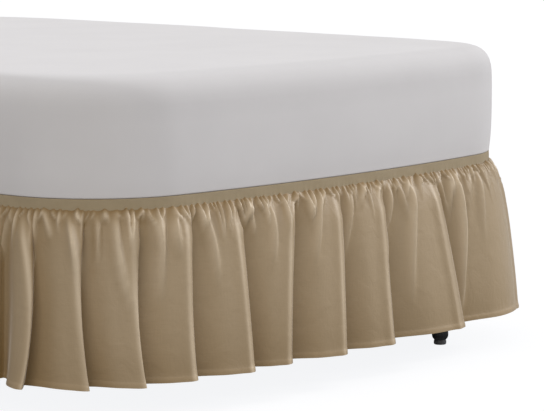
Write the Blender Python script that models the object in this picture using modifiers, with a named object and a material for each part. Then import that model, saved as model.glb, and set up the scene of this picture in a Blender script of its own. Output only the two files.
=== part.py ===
"""A gathered bed skirt, fitted by its elastic band round the box spring of a queen-size bed.

The skirt is two pieces: the elastic band, which runs all the way round the box spring, and the
ruffle gathered on to it along both sides and the foot end. The bed that carries it is plain:
a mattress, a box spring and a steel frame on six legs with turned glides.

Metres, +Z up. The floor is z = 0, the width runs along X, and the foot end faces -Y.
"""
import math
import random
from collections import namedtuple

import bmesh
import bpy
from mathutils import Vector

# ---- driving dimensions ----
HALF_WIDTH = 0.762            # a queen mattress is 1524 mm (60 in) wide
HALF_LENGTH = 1.016           # and 2032 mm (80 in) long
CORNER_RADIUS = 0.265         # the skirt rounds the bed's corners widely
END_BOW_RADIUS = 4.0          # the foot and head ends bow out gently
SIDE_BOW_RADIUS = 14.0        # the long sides bow out less
BED_SHIFT_Y = 0.034           # centres the footprint, with the ruffle at the foot end, on the origin

GLIDE_HEIGHT = 0.045
RAIL_BOTTOM = 0.195
RAIL_HEIGHT = 0.040
BOX_SPRING_HEIGHT = 0.229     # 9 in
MATTRESS_HEIGHT = 0.252       # 10 in
TOUCH_GAP = 0.0003            # between pieces that rest on each other

BAND_HEIGHT = 0.0254          # 1 in elastic
BAND_THICKNESS = 0.0017
SKIRT_DROP = 0.381            # 15 in from the band's top edge to the hem
CLOTH_THICKNESS = 0.0022
SKIRT_END = 2.500             # the ruffle ends this far along the band, each way from the foot's middle
HEM_MM = 1000 * (SKIRT_DROP - BAND_HEIGHT)

COLUMN_WIDTH = 0.0134         # of the ruffle's faces, along the band
END_STEPS = 5                 # of the outline, along half an end, round a corner and along half a side
CORNER_STEPS = 8
SIDE_STEPS = 6
ROUND_STEPS = 24              # of a leg or a glide
ROW_DEPTHS_MM = (0, 11, 32, 75, 150, 250, HEM_MM)

BOX_SPRING_BOTTOM = RAIL_BOTTOM + RAIL_HEIGHT + TOUCH_GAP
BOX_SPRING_TOP = BOX_SPRING_BOTTOM + BOX_SPRING_HEIGHT
BAND_TOP = BOX_SPRING_TOP - TOUCH_GAP
BAND_BOTTOM = BAND_TOP - BAND_HEIGHT
RUFFLE_TOP = BAND_BOTTOM - TOUCH_GAP
MATTRESS_BOTTOM = BOX_SPRING_TOP + TOUCH_GAP

# Sections of a soft block: height above its base and how far it stands out from the band, mm.
Section = namedtuple("Section", "height out")
MATTRESS_SECTIONS = (
    Section(0, -7), Section(5, -2), Section(14, 1.5), Section(50, 4.5), Section(126, 6.5),
    Section(200, 5), Section(224, -2), Section(240, -14), Section(249, -30), Section(252, -50),
)
BOX_SPRING_SECTIONS = (Section(0, -16), Section(12, -2.0), Section(226, -2.0), Section(229, -5))

# How far the ruffle stands out from the band's face at each depth under the band, mm.
Flare = namedtuple("Flare", "depth ridge trough")
FLARES = (
    Flare(0, 3, 1.5), Flare(12, 10.5, 6), Flare(30, 20, 9), Flare(50, 28, 12), Flare(100, 39, 15),
    Flare(200, 55, 18), Flare(300, 68, 21), Flare(356, 74, 22),
)

# Main folds, from the near side corner to the far one. Places are mm along the band from the middle
# of the foot end, + towards +X, at the band, half way down and at the hem. Peak and trough are how
# far the ridge, and the trough after it, stand out at the hem; turn is how far past its ridge that
# trough comes at the hem, mm: under 0, the cloth turns back under the crest. Rise is how late the long
# face before a ridge comes forward: over 1, the hollow before it is wide.
Fold = namedtuple("Fold", "band middle hem peak trough turn rise")
FOOT_FOLDS = (
    Fold(-860, -812, -811, 108, 66, -12, 1.0),
    Fold(-744, -729, -711, 98, 50, -10, 1.25),
    Fold(-630, -634, -624, 84, 38, -6, 1.2),
    Fold(-512, -529, -527, 63, 22, 10, 1.0),
    Fold(-382, -382, -379, 71, 18, 24, 0.9),
    Fold(-212, -245, -260, 60, 12, 26, 0.85),
    Fold(-66, -85, -99, 72, 22, 28, 0.85),
    Fold(84, 68, 68, 71, 15, 30, 0.8),
    Fold(284, 304, 333, 71, 28, 54, 0.8),
    Fold(612, 655, 640, 70, 22, 28, 0.8),
)
BAND_TURN_MM = 30             # a trough starts this far past its ridge at the band, or nearer
BAND_TURN_SHARE = 0.4         # where that is over this share of the way to the next ridge
DROP_BIAS = 2.0               # over 1, its short face turns over a round crest before it falls away
RIDGE_CROWD = 1.3             # over 1, the cloth's columns stand closer together near a ridge
CREST_MM = 5                  # a narrow crest along each ridge
CREST_WIDTH_MM = 14
CREST_ROUND_MM = 9            # it rounds over this far past the ridge before the cloth falls away
CREST_ROOT_MM = 60            # and all that rises from nothing over this depth

# Smaller folds that leave the band and die out or run into a main one: places at the band, half way
# and where they end, the depth at which they end, and their height and half width, all in mm.
Arm = namedtuple("Arm", "band middle end depth height width")
FOOT_ARMS = (
    Arm(-750, -732, -722, 150, 9, 13), Arm(-694, -690, -694, 120, 7, 13), Arm(-655, -650, -626, 215, 9, 13),
    Arm(-578, -574, -569, 86, 7, 13), Arm(-559, -570, -578, 205, 8, 13), Arm(-525, -535, -530, 98, 7, 13),
    Arm(-455, -440, -436, 165, 9, 13), Arm(-319, -327, -366, 66, 7, 13), Arm(-266, -266, -276, 145, 8, 13),
    Arm(-152, -140, -137, 60, 6, 13), Arm(-106, -128, -145, 160, 8, 13), Arm(4, -18, -44, 175, 8, 13),
    Arm(140, 128, 80, 160, 8, 13), Arm(178, 182, 197, 86, 6, 13), Arm(226, 198, 191, 290, 9, 14),
    Arm(340, 347, 366, 95, 7, 13), Arm(378, 374, 366, 128, 7, 13), Arm(400, 415, 405, 345, 18, 15),
    Arm(476, 454, 442, 108, 7, 13), Arm(506, 500, 496, 160, 7, 13),
)
ARM_ROOT_MM = 30              # a small fold rises from nothing over this depth
ARM_REACH_MM = 150            # and adds nothing further than this from where it starts

# The folds along the sides follow a rule, each a little out of step. Pairs are lowest and highest.
FOLD_PITCH_MM = 134
FOLD_JITTER = 0.16            # share of a pitch
FOLD_LEAN_MM = 22             # a hem leans this far at most from the fold's place at the band
FOLD_PEAKS_MM = (62, 76)
FOLD_TROUGHS_MM = (16, 28)
FOLD_TURN_MM = 32
SIDE_RISE = 0.85
END_PEAK_MM = 48              # the ruffle's ends hang closer in than its folds
LONG_ARM_REACH_MM = (32, 58)  # a long arm starts this far from its fold and runs into it
LONG_ARM_DEPTHS_MM = (90, 230)
LONG_ARM_HEIGHTS_MM = (7, 10)
SHORT_ARM_REACH_MM = (34, 62)
SHORT_ARM_DEPTHS_MM = (60, 110)
SHORT_ARM_HEIGHTS_MM = (5, 7)
ARM_HALF_WIDTH_MM = 13

RAIL_WIDTH = 0.025
RAIL_OFFSET_X = 0.5146        # legs and side rails stand this far from the middle
RAIL_HALF_LENGTH = 0.935
CROSS_RAIL_OFFSET_Y = 0.8835
LEG_RADIUS = 0.014
# Where each leg stands, along its side rail from the bed's middle. The left rail's first leg is
# set further in from the foot end than the right rail's.
Leg = namedtuple("Leg", "name side place")
LEGS = (
    Leg("right_foot", 1, -0.8835), Leg("right_middle", 1, 0.0), Leg("right_head", 1, 0.8835),
    Leg("left_foot", -1, -0.4000), Leg("left_middle", -1, 0.24), Leg("left_head", -1, 0.8835),
)
GLIDE_PROFILE = (             # radius and height, from the top down, mm
    (0.001, 45.0), (17.0, 45.0), (19.0, 42.5), (19.0, 39.0), (19.8, 26.0), (18.6, 17.4), (14.2, 11.0),
    (15.1, 7.5), (15.1, 2.4), (13.2, 0.0), (0.001, 0.0),
)


# ---- the bed's outline ----
def circle_meeting(centre_a, radius_a, centre_b, radius_b):
    """Where two circles cross, on the +X, -Y side."""
    line = centre_b - centre_a
    gap = line.length
    along = (gap ** 2 + radius_a ** 2 - radius_b ** 2) / (2 * gap)
    across = math.sqrt(radius_a ** 2 - along ** 2)
    unit = line / gap
    return centre_a + unit * along + Vector((unit.y, -unit.x)) * -across


END_CENTRE = Vector((0.0, END_BOW_RADIUS - HALF_LENGTH))
SIDE_CENTRE = Vector((HALF_WIDTH - SIDE_BOW_RADIUS, 0.0))
CORNER_CENTRE = circle_meeting(
    END_CENTRE, END_BOW_RADIUS - CORNER_RADIUS, SIDE_CENTRE, SIDE_BOW_RADIUS - CORNER_RADIUS
)
END_ANGLE = math.asin(CORNER_CENTRE.x / (END_BOW_RADIUS - CORNER_RADIUS))
SIDE_ANGLE = math.asin(-CORNER_CENTRE.y / (SIDE_BOW_RADIUS - CORNER_RADIUS))
CORNER_START = END_ANGLE * END_BOW_RADIUS
CORNER_TURN = math.pi / 2 - END_ANGLE - SIDE_ANGLE
CORNER_END = CORNER_START + CORNER_TURN * CORNER_RADIUS
HALF_SIDE = SIDE_ANGLE * SIDE_BOW_RADIUS
HALF_LOOP = 2 * (CORNER_END + HALF_SIDE)


def outline_point(place, out):
    """Plan point at a place along the band from the foot's middle, standing out from its face."""
    along = abs(place)
    behind = along > HALF_LOOP / 2
    if behind:
        along = HALF_LOOP - along
    if along < CORNER_START:
        centre, radius = END_CENTRE, END_BOW_RADIUS
        angle = along / END_BOW_RADIUS - math.pi / 2
    elif along < CORNER_END:
        centre, radius = CORNER_CENTRE, CORNER_RADIUS
        angle = END_ANGLE - math.pi / 2 + (along - CORNER_START) / CORNER_RADIUS
    else:
        centre, radius = SIDE_CENTRE, SIDE_BOW_RADIUS
        angle = (along - CORNER_END - HALF_SIDE) / SIDE_BOW_RADIUS
    x = centre.x + (radius + out) * math.cos(angle)
    y = centre.y + (radius + out) * math.sin(angle)
    return math.copysign(x, place), (-y if behind else y) + BED_SHIFT_Y


def outline_places():
    """Places round the whole band: close together at the corners, wide apart along the bows."""
    stops = (0.0, CORNER_START, CORNER_END, HALF_LOOP / 2)
    quarter = []
    for start, end, steps in zip(stops, stops[1:], (END_STEPS, CORNER_STEPS, SIDE_STEPS)):
        quarter += [start + (end - start) * i / steps for i in range(steps)]
    half = quarter + [HALF_LOOP / 2] + [HALF_LOOP - place for place in reversed(quarter)]
    return half + [-place for place in reversed(half[1:-1])]


# ---- the ruffle's folds ----
def side_folds(first, direction, seed):
    """Folds from the last one of the foot end to the ruffle's end, a little out of step."""
    rng = random.Random(seed)
    room = 1000 * SKIRT_END - abs(first)
    count = round(room / FOLD_PITCH_MM)
    folds = []
    for i in range(1, count + 1):
        last = i == count
        jitter = 0 if last else rng.uniform(-FOLD_JITTER, FOLD_JITTER)
        lean = 0 if last else rng.uniform(-FOLD_LEAN_MM, FOLD_LEAN_MM)
        peak = END_PEAK_MM if last else rng.uniform(*FOLD_PEAKS_MM)
        trough = rng.uniform(*FOLD_TROUGHS_MM)
        place = direction * (abs(first) + room * (i + jitter) / count)
        folds.append(Fold(place, place + 0.6 * lean, place + lean, peak, trough, FOLD_TURN_MM, SIDE_RISE))
    return folds


def side_arms(folds, seed):
    """A long arm that runs into each fold of the sides, and a short one beside it that dies out."""
    rng = random.Random(seed)
    arms = []
    for fold in folds:
        side = rng.choice((-1, 1))
        start = fold.band + side * rng.uniform(*LONG_ARM_REACH_MM)
        depth = rng.uniform(*LONG_ARM_DEPTHS_MM)
        height = rng.uniform(*LONG_ARM_HEIGHTS_MM)
        arms.append(Arm(start, (start + fold.middle) / 2, fold.middle, depth, height, ARM_HALF_WIDTH_MM))
        start = fold.band - side * rng.uniform(*SHORT_ARM_REACH_MM)
        depth = rng.uniform(*SHORT_ARM_DEPTHS_MM)
        height = rng.uniform(*SHORT_ARM_HEIGHTS_MM)
        arms.append(Arm(start, start, start, depth, height, ARM_HALF_WIDTH_MM))
    return arms


LEFT_FOLDS = side_folds(FOOT_FOLDS[0].hem, -1, seed=3)
RIGHT_FOLDS = side_folds(FOOT_FOLDS[-1].hem, 1, seed=8)
FOLDS = tuple(reversed(LEFT_FOLDS)) + FOOT_FOLDS + tuple(RIGHT_FOLDS)
ARMS = FOOT_ARMS + tuple(side_arms(LEFT_FOLDS, seed=5)) + tuple(side_arms(RIGHT_FOLDS, seed=6))


def flare_at(depth):
    """Ridge and trough stand-out at a depth, read from the table."""
    for upper, lower in zip(FLARES, FLARES[1:]):
        if depth <= lower.depth:
            part = (depth - upper.depth) / (lower.depth - upper.depth)
            ridge = upper.ridge + (lower.ridge - upper.ridge) * part
            return ridge, upper.trough + (lower.trough - upper.trough) * part
    return FLARES[-1].ridge, FLARES[-1].trough


def through(band, middle, hem, run):
    """Place part of the way down a smooth line through three places: at its top, half way and end."""
    return band * (1 - run) * (1 - 2 * run) + middle * 4 * run * (1 - run) + hem * run * (2 * run - 1)


def ridge_line(fold, depth):
    """Place and stand-out of a fold's ridge at a depth."""
    run = depth / HEM_MM
    ridge, _ = flare_at(depth)
    place = through(fold.band, fold.middle, fold.hem, run)
    return place, ridge * (1 + (fold.peak / FLARES[-1].ridge - 1) * run)


def trough_line(fold, following, depth):
    """Place and stand-out of the trough between a fold and the following one at a depth."""
    run = depth / HEM_MM
    first = min(BAND_TURN_MM, BAND_TURN_SHARE * (following.band - fold.band))
    _, trough = flare_at(depth)
    place = through(
        fold.band + first, fold.middle + (first + 5 * fold.turn) / 6, fold.hem + fold.turn, run
    )
    return place, trough * (1 + (fold.trough / FLARES[-1].trough - 1) * run)


def arm_height(arm, place, depth):
    """What a small fold adds to the stand-out at a place and depth."""
    if depth >= arm.depth:
        return 0.0
    run = depth / arm.depth
    centre = through(arm.band, arm.middle, arm.end, run)
    rise = min(1.0, depth / ARM_ROOT_MM) * math.sin(math.pi * (0.3 + 0.7 * run))
    return arm.height * rise * math.exp(-((place - centre) / arm.width) ** 2)


def fold_lines(depth):
    """Ridge, trough, ridge ... along the whole ruffle at a depth."""
    lines = []
    for fold, following in zip(FOLDS, FOLDS[1:]):
        lines.append(ridge_line(fold, depth))
        lines.append(trough_line(fold, following, depth))
    lines.append(ridge_line(FOLDS[-1], depth))
    return lines


def ruffle_row(depth, steps):
    """Points of the ruffle's middle surface at a depth, with the given steps between fold lines."""
    points = []
    lines = fold_lines(depth)
    for index, (line, following, count) in enumerate(zip(lines, lines[1:], steps)):
        rising = index % 2 == 1
        start, start_out = line
        end, end_out = following
        for i in range(count + (index == len(steps) - 1)):
            part = i / count
            share = 1 - (1 - part) ** RIDGE_CROWD if rising else part
            late = FOLDS[index // 2 + 1].rise if rising else DROP_BIAS
            rooted = min(1.0, depth / CREST_ROOT_MM)
            past = 0 if rising else CREST_ROUND_MM * rooted * math.sin(math.pi * part)
            place = start + (end - start) * share + past
            ease = 0.5 - 0.5 * math.cos(math.pi * share ** late)
            from_ridge = (place - (end if rising else start)) / CREST_WIDTH_MM
            crest = CREST_MM * rooted * math.exp(-from_ridge ** 2)
            points.append((place, start_out + (end_out - start_out) * ease + crest))
    row = []
    for place, out in points:
        near = [arm for arm in ARMS if abs(place - arm.band) < ARM_REACH_MM]
        out += sum(arm_height(arm, place, depth) for arm in near)
        x, y = outline_point(place / 1000, out / 1000)
        row.append(Vector((x, y, RUFFLE_TOP - depth / 1000)))
    return row


# ---- building ----
def material(name, colour, roughness, metallic=0.0):
    """Principled material with a colour, roughness and metallic value."""
    made = bpy.data.materials.new(name)
    made.use_nodes = True
    shader = made.node_tree.nodes["Principled BSDF"]
    shader.inputs["Base Color"].default_value = (*colour, 1.0)
    shader.inputs["Roughness"].default_value = roughness
    shader.inputs["Metallic"].default_value = metallic
    return made


def add_object(name, bm, finish, smooth_angle=None):
    """Object in the part's collection from a bmesh."""
    mesh = bpy.data.meshes.new(name)
    bm.to_mesh(mesh)
    bm.free()
    if smooth_angle is not None:
        mesh.shade_smooth()
        mesh.set_sharp_from_angle(angle=math.radians(smooth_angle))
    mesh.materials.append(finish)
    made = bpy.data.objects.new(name, mesh)
    bpy.data.collections["bed_skirt"].objects.link(made)
    return made


def soft_block(name, sections, base, finish):
    """Closed block lofted through outlines of the bed, one for each section, with flat ends."""
    bm = bmesh.new()
    places = outline_places()
    rings = []
    for section in sections:
        points = [outline_point(place, section.out / 1000) for place in places]
        height = base + section.height / 1000
        rings.append([bm.verts.new((x, y, height)) for x, y in points])
    for lower, upper in zip(rings, rings[1:]):
        for i, vertex in enumerate(lower):
            j = (i + 1) % len(lower)
            bm.faces.new((vertex, lower[j], upper[j], upper[i]))
    bm.faces.new(list(reversed(rings[0])))
    bm.faces.new(rings[-1])
    return add_object(name, bm, finish, smooth_angle=40)


def elastic_band(finish):
    """Upright strip all the way round the box spring, its outer face on the bed's outline."""
    bm = bmesh.new()
    points = [outline_point(place, 0.0) for place in outline_places()]
    lower = [bm.verts.new((x, y, BAND_BOTTOM)) for x, y in points]
    upper = [bm.verts.new((x, y, BAND_TOP)) for x, y in points]
    for i, vertex in enumerate(lower):
        j = (i + 1) % len(lower)
        bm.faces.new((vertex, lower[j], upper[j], upper[i]))
    band = add_object("elastic_band", bm, finish, smooth_angle=40)
    wall = band.modifiers.new("elastic", "SOLIDIFY")
    wall.thickness = BAND_THICKNESS
    wall.offset = -1
    wall.use_even_offset = True
    return band


def ruffle(finish):
    """The gathered cloth: a grid whose columns follow the folds, thickened into a sheet."""
    lines = fold_lines(0)
    steps = [max(3, round((b[0] - a[0]) / 1000 / COLUMN_WIDTH)) for a, b in zip(lines, lines[1:])]
    rows = [ruffle_row(depth, steps) for depth in ROW_DEPTHS_MM]
    columns = sum(steps)
    bm = bmesh.new()
    bmesh.ops.create_grid(bm, x_segments=columns, y_segments=len(rows) - 1, size=1.0)
    for vertex in bm.verts:
        column = round((vertex.co.x + 1) / 2 * columns)
        row = round((1 - vertex.co.y) / 2 * (len(rows) - 1))
        vertex.co = rows[row][column]
    bmesh.ops.recalc_face_normals(bm, faces=bm.faces)
    cloth = add_object("ruffle", bm, finish, smooth_angle=60)
    wall = cloth.modifiers.new("cloth", "SOLIDIFY")
    wall.thickness = CLOTH_THICKNESS
    wall.offset = 0
    return cloth


def rail(name, size, centre, finish):
    """Rectangular steel rail with eased edges."""
    bm = bmesh.new()
    bmesh.ops.create_cube(bm, size=1.0)
    bmesh.ops.scale(bm, vec=size, verts=bm.verts)
    made = add_object(name, bm, finish)
    made.location = centre
    edges = made.modifiers.new("eased edges", "BEVEL")
    edges.width = 0.003
    edges.segments = 2
    return made


def leg(name, x, y, finish):
    """Round steel leg from its glide up to the side rail."""
    low = GLIDE_HEIGHT + TOUCH_GAP
    high = RAIL_BOTTOM - TOUCH_GAP
    bm = bmesh.new()
    bmesh.ops.create_cone(
        bm, cap_ends=True, segments=ROUND_STEPS, radius1=LEG_RADIUS, radius2=LEG_RADIUS, depth=high - low
    )
    made = add_object(name, bm, finish, smooth_angle=40)
    made.location = (x, y, (low + high) / 2)
    return made


def glide(name, x, y, finish):
    """Turned glide under a leg: a cup that narrows to its foot."""
    bm = bmesh.new()
    points = [bm.verts.new((radius / 1000, 0, height / 1000)) for radius, height in GLIDE_PROFILE]
    for upper, lower in zip(points, points[1:]):
        bm.edges.new((upper, lower))
    made = add_object(name, bm, finish, smooth_angle=40)
    made.location = (x, y, 0)
    turn = made.modifiers.new("turned", "SCREW")
    turn.steps = ROUND_STEPS
    turn.render_steps = ROUND_STEPS
    turn.use_merge_vertices = True
    turn.merge_threshold = 0.0001
    return made


def frame_rails(finish):
    """Two side rails and the three cross rails between them."""
    height = RAIL_BOTTOM + RAIL_HEIGHT / 2
    for name, side in (("left", -1), ("right", 1)):
        size = (RAIL_WIDTH, 2 * RAIL_HALF_LENGTH, RAIL_HEIGHT)
        rail("side_rail_" + name, size, (side * RAIL_OFFSET_X, BED_SHIFT_Y, height), finish)
    span = 2 * (RAIL_OFFSET_X - RAIL_WIDTH / 2 - TOUCH_GAP)
    for name, end in (("foot", -1), ("middle", 0), ("head", 1)):
        centre = (0, end * CROSS_RAIL_OFFSET_Y + BED_SHIFT_Y, height)
        rail("cross_rail_" + name, (span, RAIL_WIDTH, RAIL_HEIGHT), centre, finish)


def frame_legs(steel, plastic):
    """The legs under the side rails, each on its glide."""
    for spot in LEGS:
        x = spot.side * RAIL_OFFSET_X
        y = spot.place + BED_SHIFT_Y
        leg("leg_" + spot.name, x, y, steel)
        glide("glide_" + spot.name, x, y, plastic)


def build():
    """The skirt and the bed that carries it."""
    for old in list(bpy.data.objects):
        bpy.data.objects.remove(old, do_unlink=True)
    bpy.context.scene.collection.children.link(bpy.data.collections.new("bed_skirt"))
    taupe = material("brushed_microfibre", (0.33, 0.26, 0.18), 0.85)
    white = material("mattress_cover", (0.80, 0.79, 0.80), 0.8)
    ticking = material("box_spring_ticking", (0.70, 0.69, 0.67), 0.85)
    steel = material("black_painted_steel", (0.03, 0.03, 0.03), 0.45)
    plastic = material("black_plastic", (0.04, 0.04, 0.04), 0.4)
    elastic = material("knitted_elastic", (0.30, 0.24, 0.17), 0.85)
    soft_block("mattress", MATTRESS_SECTIONS, MATTRESS_BOTTOM, white)
    soft_block("box_spring", BOX_SPRING_SECTIONS, BOX_SPRING_BOTTOM, ticking)
    elastic_band(elastic)
    ruffle(taupe)
    frame_rails(steel)
    frame_legs(steel, plastic)


build()
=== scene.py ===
import math
import random
from collections import namedtuple

import bmesh
import bpy
import numpy as np
from mathutils import Matrix, Vector, noise


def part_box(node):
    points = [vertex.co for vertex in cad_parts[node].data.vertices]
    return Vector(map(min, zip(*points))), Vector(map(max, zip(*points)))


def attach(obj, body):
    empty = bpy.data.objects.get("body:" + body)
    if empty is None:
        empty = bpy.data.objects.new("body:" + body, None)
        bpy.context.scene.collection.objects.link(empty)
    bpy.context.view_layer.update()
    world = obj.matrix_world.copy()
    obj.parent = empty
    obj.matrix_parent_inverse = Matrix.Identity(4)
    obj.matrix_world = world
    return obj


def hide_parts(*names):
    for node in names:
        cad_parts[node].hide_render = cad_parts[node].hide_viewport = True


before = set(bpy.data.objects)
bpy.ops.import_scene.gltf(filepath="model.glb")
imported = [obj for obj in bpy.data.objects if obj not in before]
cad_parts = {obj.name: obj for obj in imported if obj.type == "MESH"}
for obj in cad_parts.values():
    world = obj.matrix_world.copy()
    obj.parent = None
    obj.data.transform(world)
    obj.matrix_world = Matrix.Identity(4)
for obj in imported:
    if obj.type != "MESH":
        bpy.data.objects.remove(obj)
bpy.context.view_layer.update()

# ---- sizes read from the frame, metres ----
BAND_LOW, BAND_HIGH = (Vector(corner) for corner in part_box("elastic_band"))
RUFFLE_LOW, RUFFLE_HIGH = (Vector(corner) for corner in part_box("ruffle"))
MATTRESS_BASE = Vector(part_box("mattress")[0]).z
SPRING_BASE = Vector(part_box("box_spring")[0]).z
BED_MIDDLE = (BAND_LOW + BAND_HIGH) / 2
HALF_WIDTH = (BAND_HIGH.x - BAND_LOW.x) / 2
HALF_LENGTH = (BAND_HIGH.y - BAND_LOW.y) / 2
BAND_MM = 1000 * (BAND_HIGH.z - BAND_LOW.z)
HEM_MM = 1000 * (RUFFLE_HIGH.z - RUFFLE_LOW.z)

# ---- the skirt's own sizes, as in the solids ----
CORNER_RADIUS = 0.265
END_BOW_RADIUS = 4.0
SIDE_BOW_RADIUS = 14.0
SKIRT_END_MM = 2500  # the ruffle ends this far along the band, each way from the foot's middle
FULLNESS = 1.36  # flat cloth for each length of band
CLOTH_THICKNESS = 0.0013
PLAIN_SHARE = 0.55  # of that thickness where the cloth isn't doubled in a hem
HEM_DEPTH_MM = 12
HEM_SEAM_MM = 344.2  # the depth of the hem's stitching
END_HEM_MM = (10, 15)  # the hem up each end is full this far from it, and gone
STITCH_MM = 3.2  # pitch of the lockstitch
STITCH_GAP = 0.14  # between a stitch's end and its hole, as a share of the pitch
STITCH_WIDTH, STITCH_HEIGHT = 0.0007, 0.0005

# How far the ruffle stands out from the band at each depth under it, mm.
Flare = namedtuple("Flare", "depth ridge trough")
FLARES = (
    Flare(0, 0.9, 0.7), Flare(5, 4.5, 2.5), Flare(12, 10.5, 6), Flare(30, 20, 9), Flare(50, 28, 12),
    Flare(100, 39, 15), Flare(200, 55, 18), Flare(300, 68, 21), Flare(356, 74, 22),
)
# Main folds across the foot end, as places along the band in mm from its middle, + towards +X. Peak and
# trough are how far they stand out at the hem, turn is how far past its ridge a trough lies there, and
# a rise over 1 makes the long face climb late.
Fold = namedtuple("Fold", "band middle hem peak trough turn rise")
FOOT_FOLDS = (
    Fold(-860, -812, -811, 108, 66, -12, 1.0),
    Fold(-744, -729, -711, 98, 50, -10, 1.25),
    Fold(-630, -634, -624, 84, 38, -6, 1.2),
    Fold(-512, -529, -527, 63, 22, 10, 1.0),
    Fold(-382, -382, -379, 71, 18, 24, 0.9),
    Fold(-212, -245, -260, 60, 12, 26, 0.85),
    Fold(-66, -85, -99, 72, 22, 28, 0.85),
    Fold(84, 68, 68, 71, 15, 30, 0.8),
    Fold(284, 304, 333, 71, 28, 54, 0.8),
    Fold(612, 655, 640, 70, 22, 28, 0.8),
)
# Smaller folds that leave the band and die out, or run into a main one; the width is half of theirs.
Arm = namedtuple("Arm", "band middle end depth height width")
FOOT_ARMS = (
    Arm(-750, -732, -722, 150, 14, 7), Arm(-694, -690, -694, 120, 12, 7), Arm(-655, -650, -626, 215, 15, 9),
    Arm(-578, -574, -569, 86, 10, 8), Arm(-559, -570, -578, 205, 12, 9), Arm(-525, -535, -530, 98, 11, 9),
    Arm(-455, -440, -436, 165, 14, 10), Arm(-319, -327, -366, 66, 10, 9), Arm(-266, -266, -276, 145, 12, 10),
    Arm(-152, -140, -137, 60, 10, 8), Arm(-106, -128, -145, 160, 11, 9), Arm(4, -18, -44, 175, 10, 10),
    Arm(140, 128, 80, 160, 12, 10), Arm(178, 182, 197, 86, 9, 8), Arm(226, 198, 191, 290, 12, 11),
    Arm(340, 347, 366, 95, 9, 8), Arm(378, 374, 366, 128, 10, 9), Arm(400, 415, 405, 345, 22, 13),
    Arm(476, 454, 442, 108, 9, 8), Arm(506, 500, 496, 160, 10, 9),
)
# Puckers: the short bright ones, gone within a hand's breadth of the band.
FOOT_PUCKERS = (
    Arm(-804, -791, -783, 58, 7, 7), Arm(-732, -728, -726, 24, 5, 5), Arm(-676, -673, -672, 24, 5, 5),
    Arm(-636, -631, -628, 22, 5, 5), Arm(-598, -600, -601, 22, 5, 5), Arm(-322, -317, -312, 78, 7, 7),
    Arm(-163, -196, -204, 60, 6, 7), Arm(-84, -99, -105, 36, 6, 6), Arm(58, 38, 30, 42, 7, 8),
    Arm(110, 94, 86, 38, 6, 6), Arm(210, 200, 194, 46, 7, 6), Arm(260, 252, 246, 42, 7, 6),
    Arm(484, 482, 480, 34, 6, 6), Arm(582, 592, 599, 44, 8, 8),
)
BAND_TURN_MM = 30  # at the band a trough starts this far past its ridge, or nearer
BAND_TURN_SHARE = 0.4  # where that is over this share of the way to the next ridge
DROP_BIAS = 2.0  # over 1, a short face turns over a round crest before it falls away
RIDGE_CROWD = 1.3  # over 1, the cloth's columns stand closer together near a ridge
CREST_MM = 5  # a narrow crest along each ridge
CREST_WIDTH_MM = 14
CREST_ROUND_MM = 9  # it rounds over this far past the ridge before the cloth turns back under it
CREST_ROOT_MM = 60  # and all that rises from nothing over this depth
SHOULDER = random.Random(21).uniform(0.05, 0.16)  # a long face swells by this share of its rise,
SHOULDER_PLACE, SHOULDER_WIDTH = 0.55, 0.18  # at this share of the way to its ridge,
SHOULDER_ROOT_MM = 120  # from nothing over this depth
FADED = 4  # a small rise is nothing this many widths off its middle
ARM_ROOT_MM = 30  # a small fold rises from nothing over this depth
ARM_EDGE = 0.5  # its place is its right edge, this many widths off its top
ARM_RISE_POWER = 1.6
ARM_DROP_POWER = 3.0  # over 2, it falls away steeply on its right
ARM_START = 0.3  # its height follows half a wave from this share of it

# Painted light on the cloth's colour: a painted highlight along each crest and painted shade in each hollow.
PAINTED_CREST_HIGHLIGHT_MM = 5.5  # half the width of the painted highlight line
PAINTED_CREST_HIGHLIGHT_PAST_MM = 5  # how far past the ridge it lies
PAINTED_HIGHLIGHT_WAVER, PAINTED_HIGHLIGHT_WAVER_MM, PAINTED_HIGHLIGHT_WAVER_STEP = 0.2, 45, 2.4  # it wavers down a fold, each in its own step
PAINTED_HOLLOW_SHADE_MM = 36  # how far a trough's painted shade reaches, twice that at the hem
PAINTED_HOLLOW_SHADE = 0.38
PAINTED_HEM_SHADE = 0.32  # painted shade, darker towards the hem
PAINTED_GATHER_SHADE = 1.05  # and painted shade between the gathers, near the band,
PAINTED_GATHER_SHADE_FADE_MM = 34  # fading over this depth
PAINTED_ARM_HIGHLIGHT_MM = 15  # a small fold of this height gets as much painted highlight as a crest
PAINTED_PLEAT_HIGHLIGHT_MM = 6  # as is a pleat of this height,
PAINTED_PLEAT_HIGHLIGHT_START, PAINTED_PLEAT_HIGHLIGHT_ROOT_MM = 0.4, 15  # less so at the seam

# The folds along the sides follow a rule, each a little out of step. Pairs are lowest and highest.
SIDE_RISE = 0.85  # as the last column of the table
FOLD_PITCH_MM = 134
FOLD_JITTER = 0.16  # of the pitch, either way
FOLD_LEAN_MM = 22  # how far a fold runs sideways by the hem
FOLD_LEAN_SHARE = 0.6  # of that half way down
FOLD_PEAKS_MM = (62, 76)
FOLD_TROUGHS_MM = (16, 28)
FOLD_TURN_MM = 32
END_PEAK_MM = 48  # of the last fold, at the ruffle's end
ArmRange = namedtuple("ArmRange", "reach depth height")  # reach: how far from its fold it starts
LONG_ARM = ArmRange((32, 58), (90, 230), (7, 10))
SHORT_ARM = ArmRange((34, 62), (60, 110), (5, 7))
ARM_HALF_WIDTH_MM = 9

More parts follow.
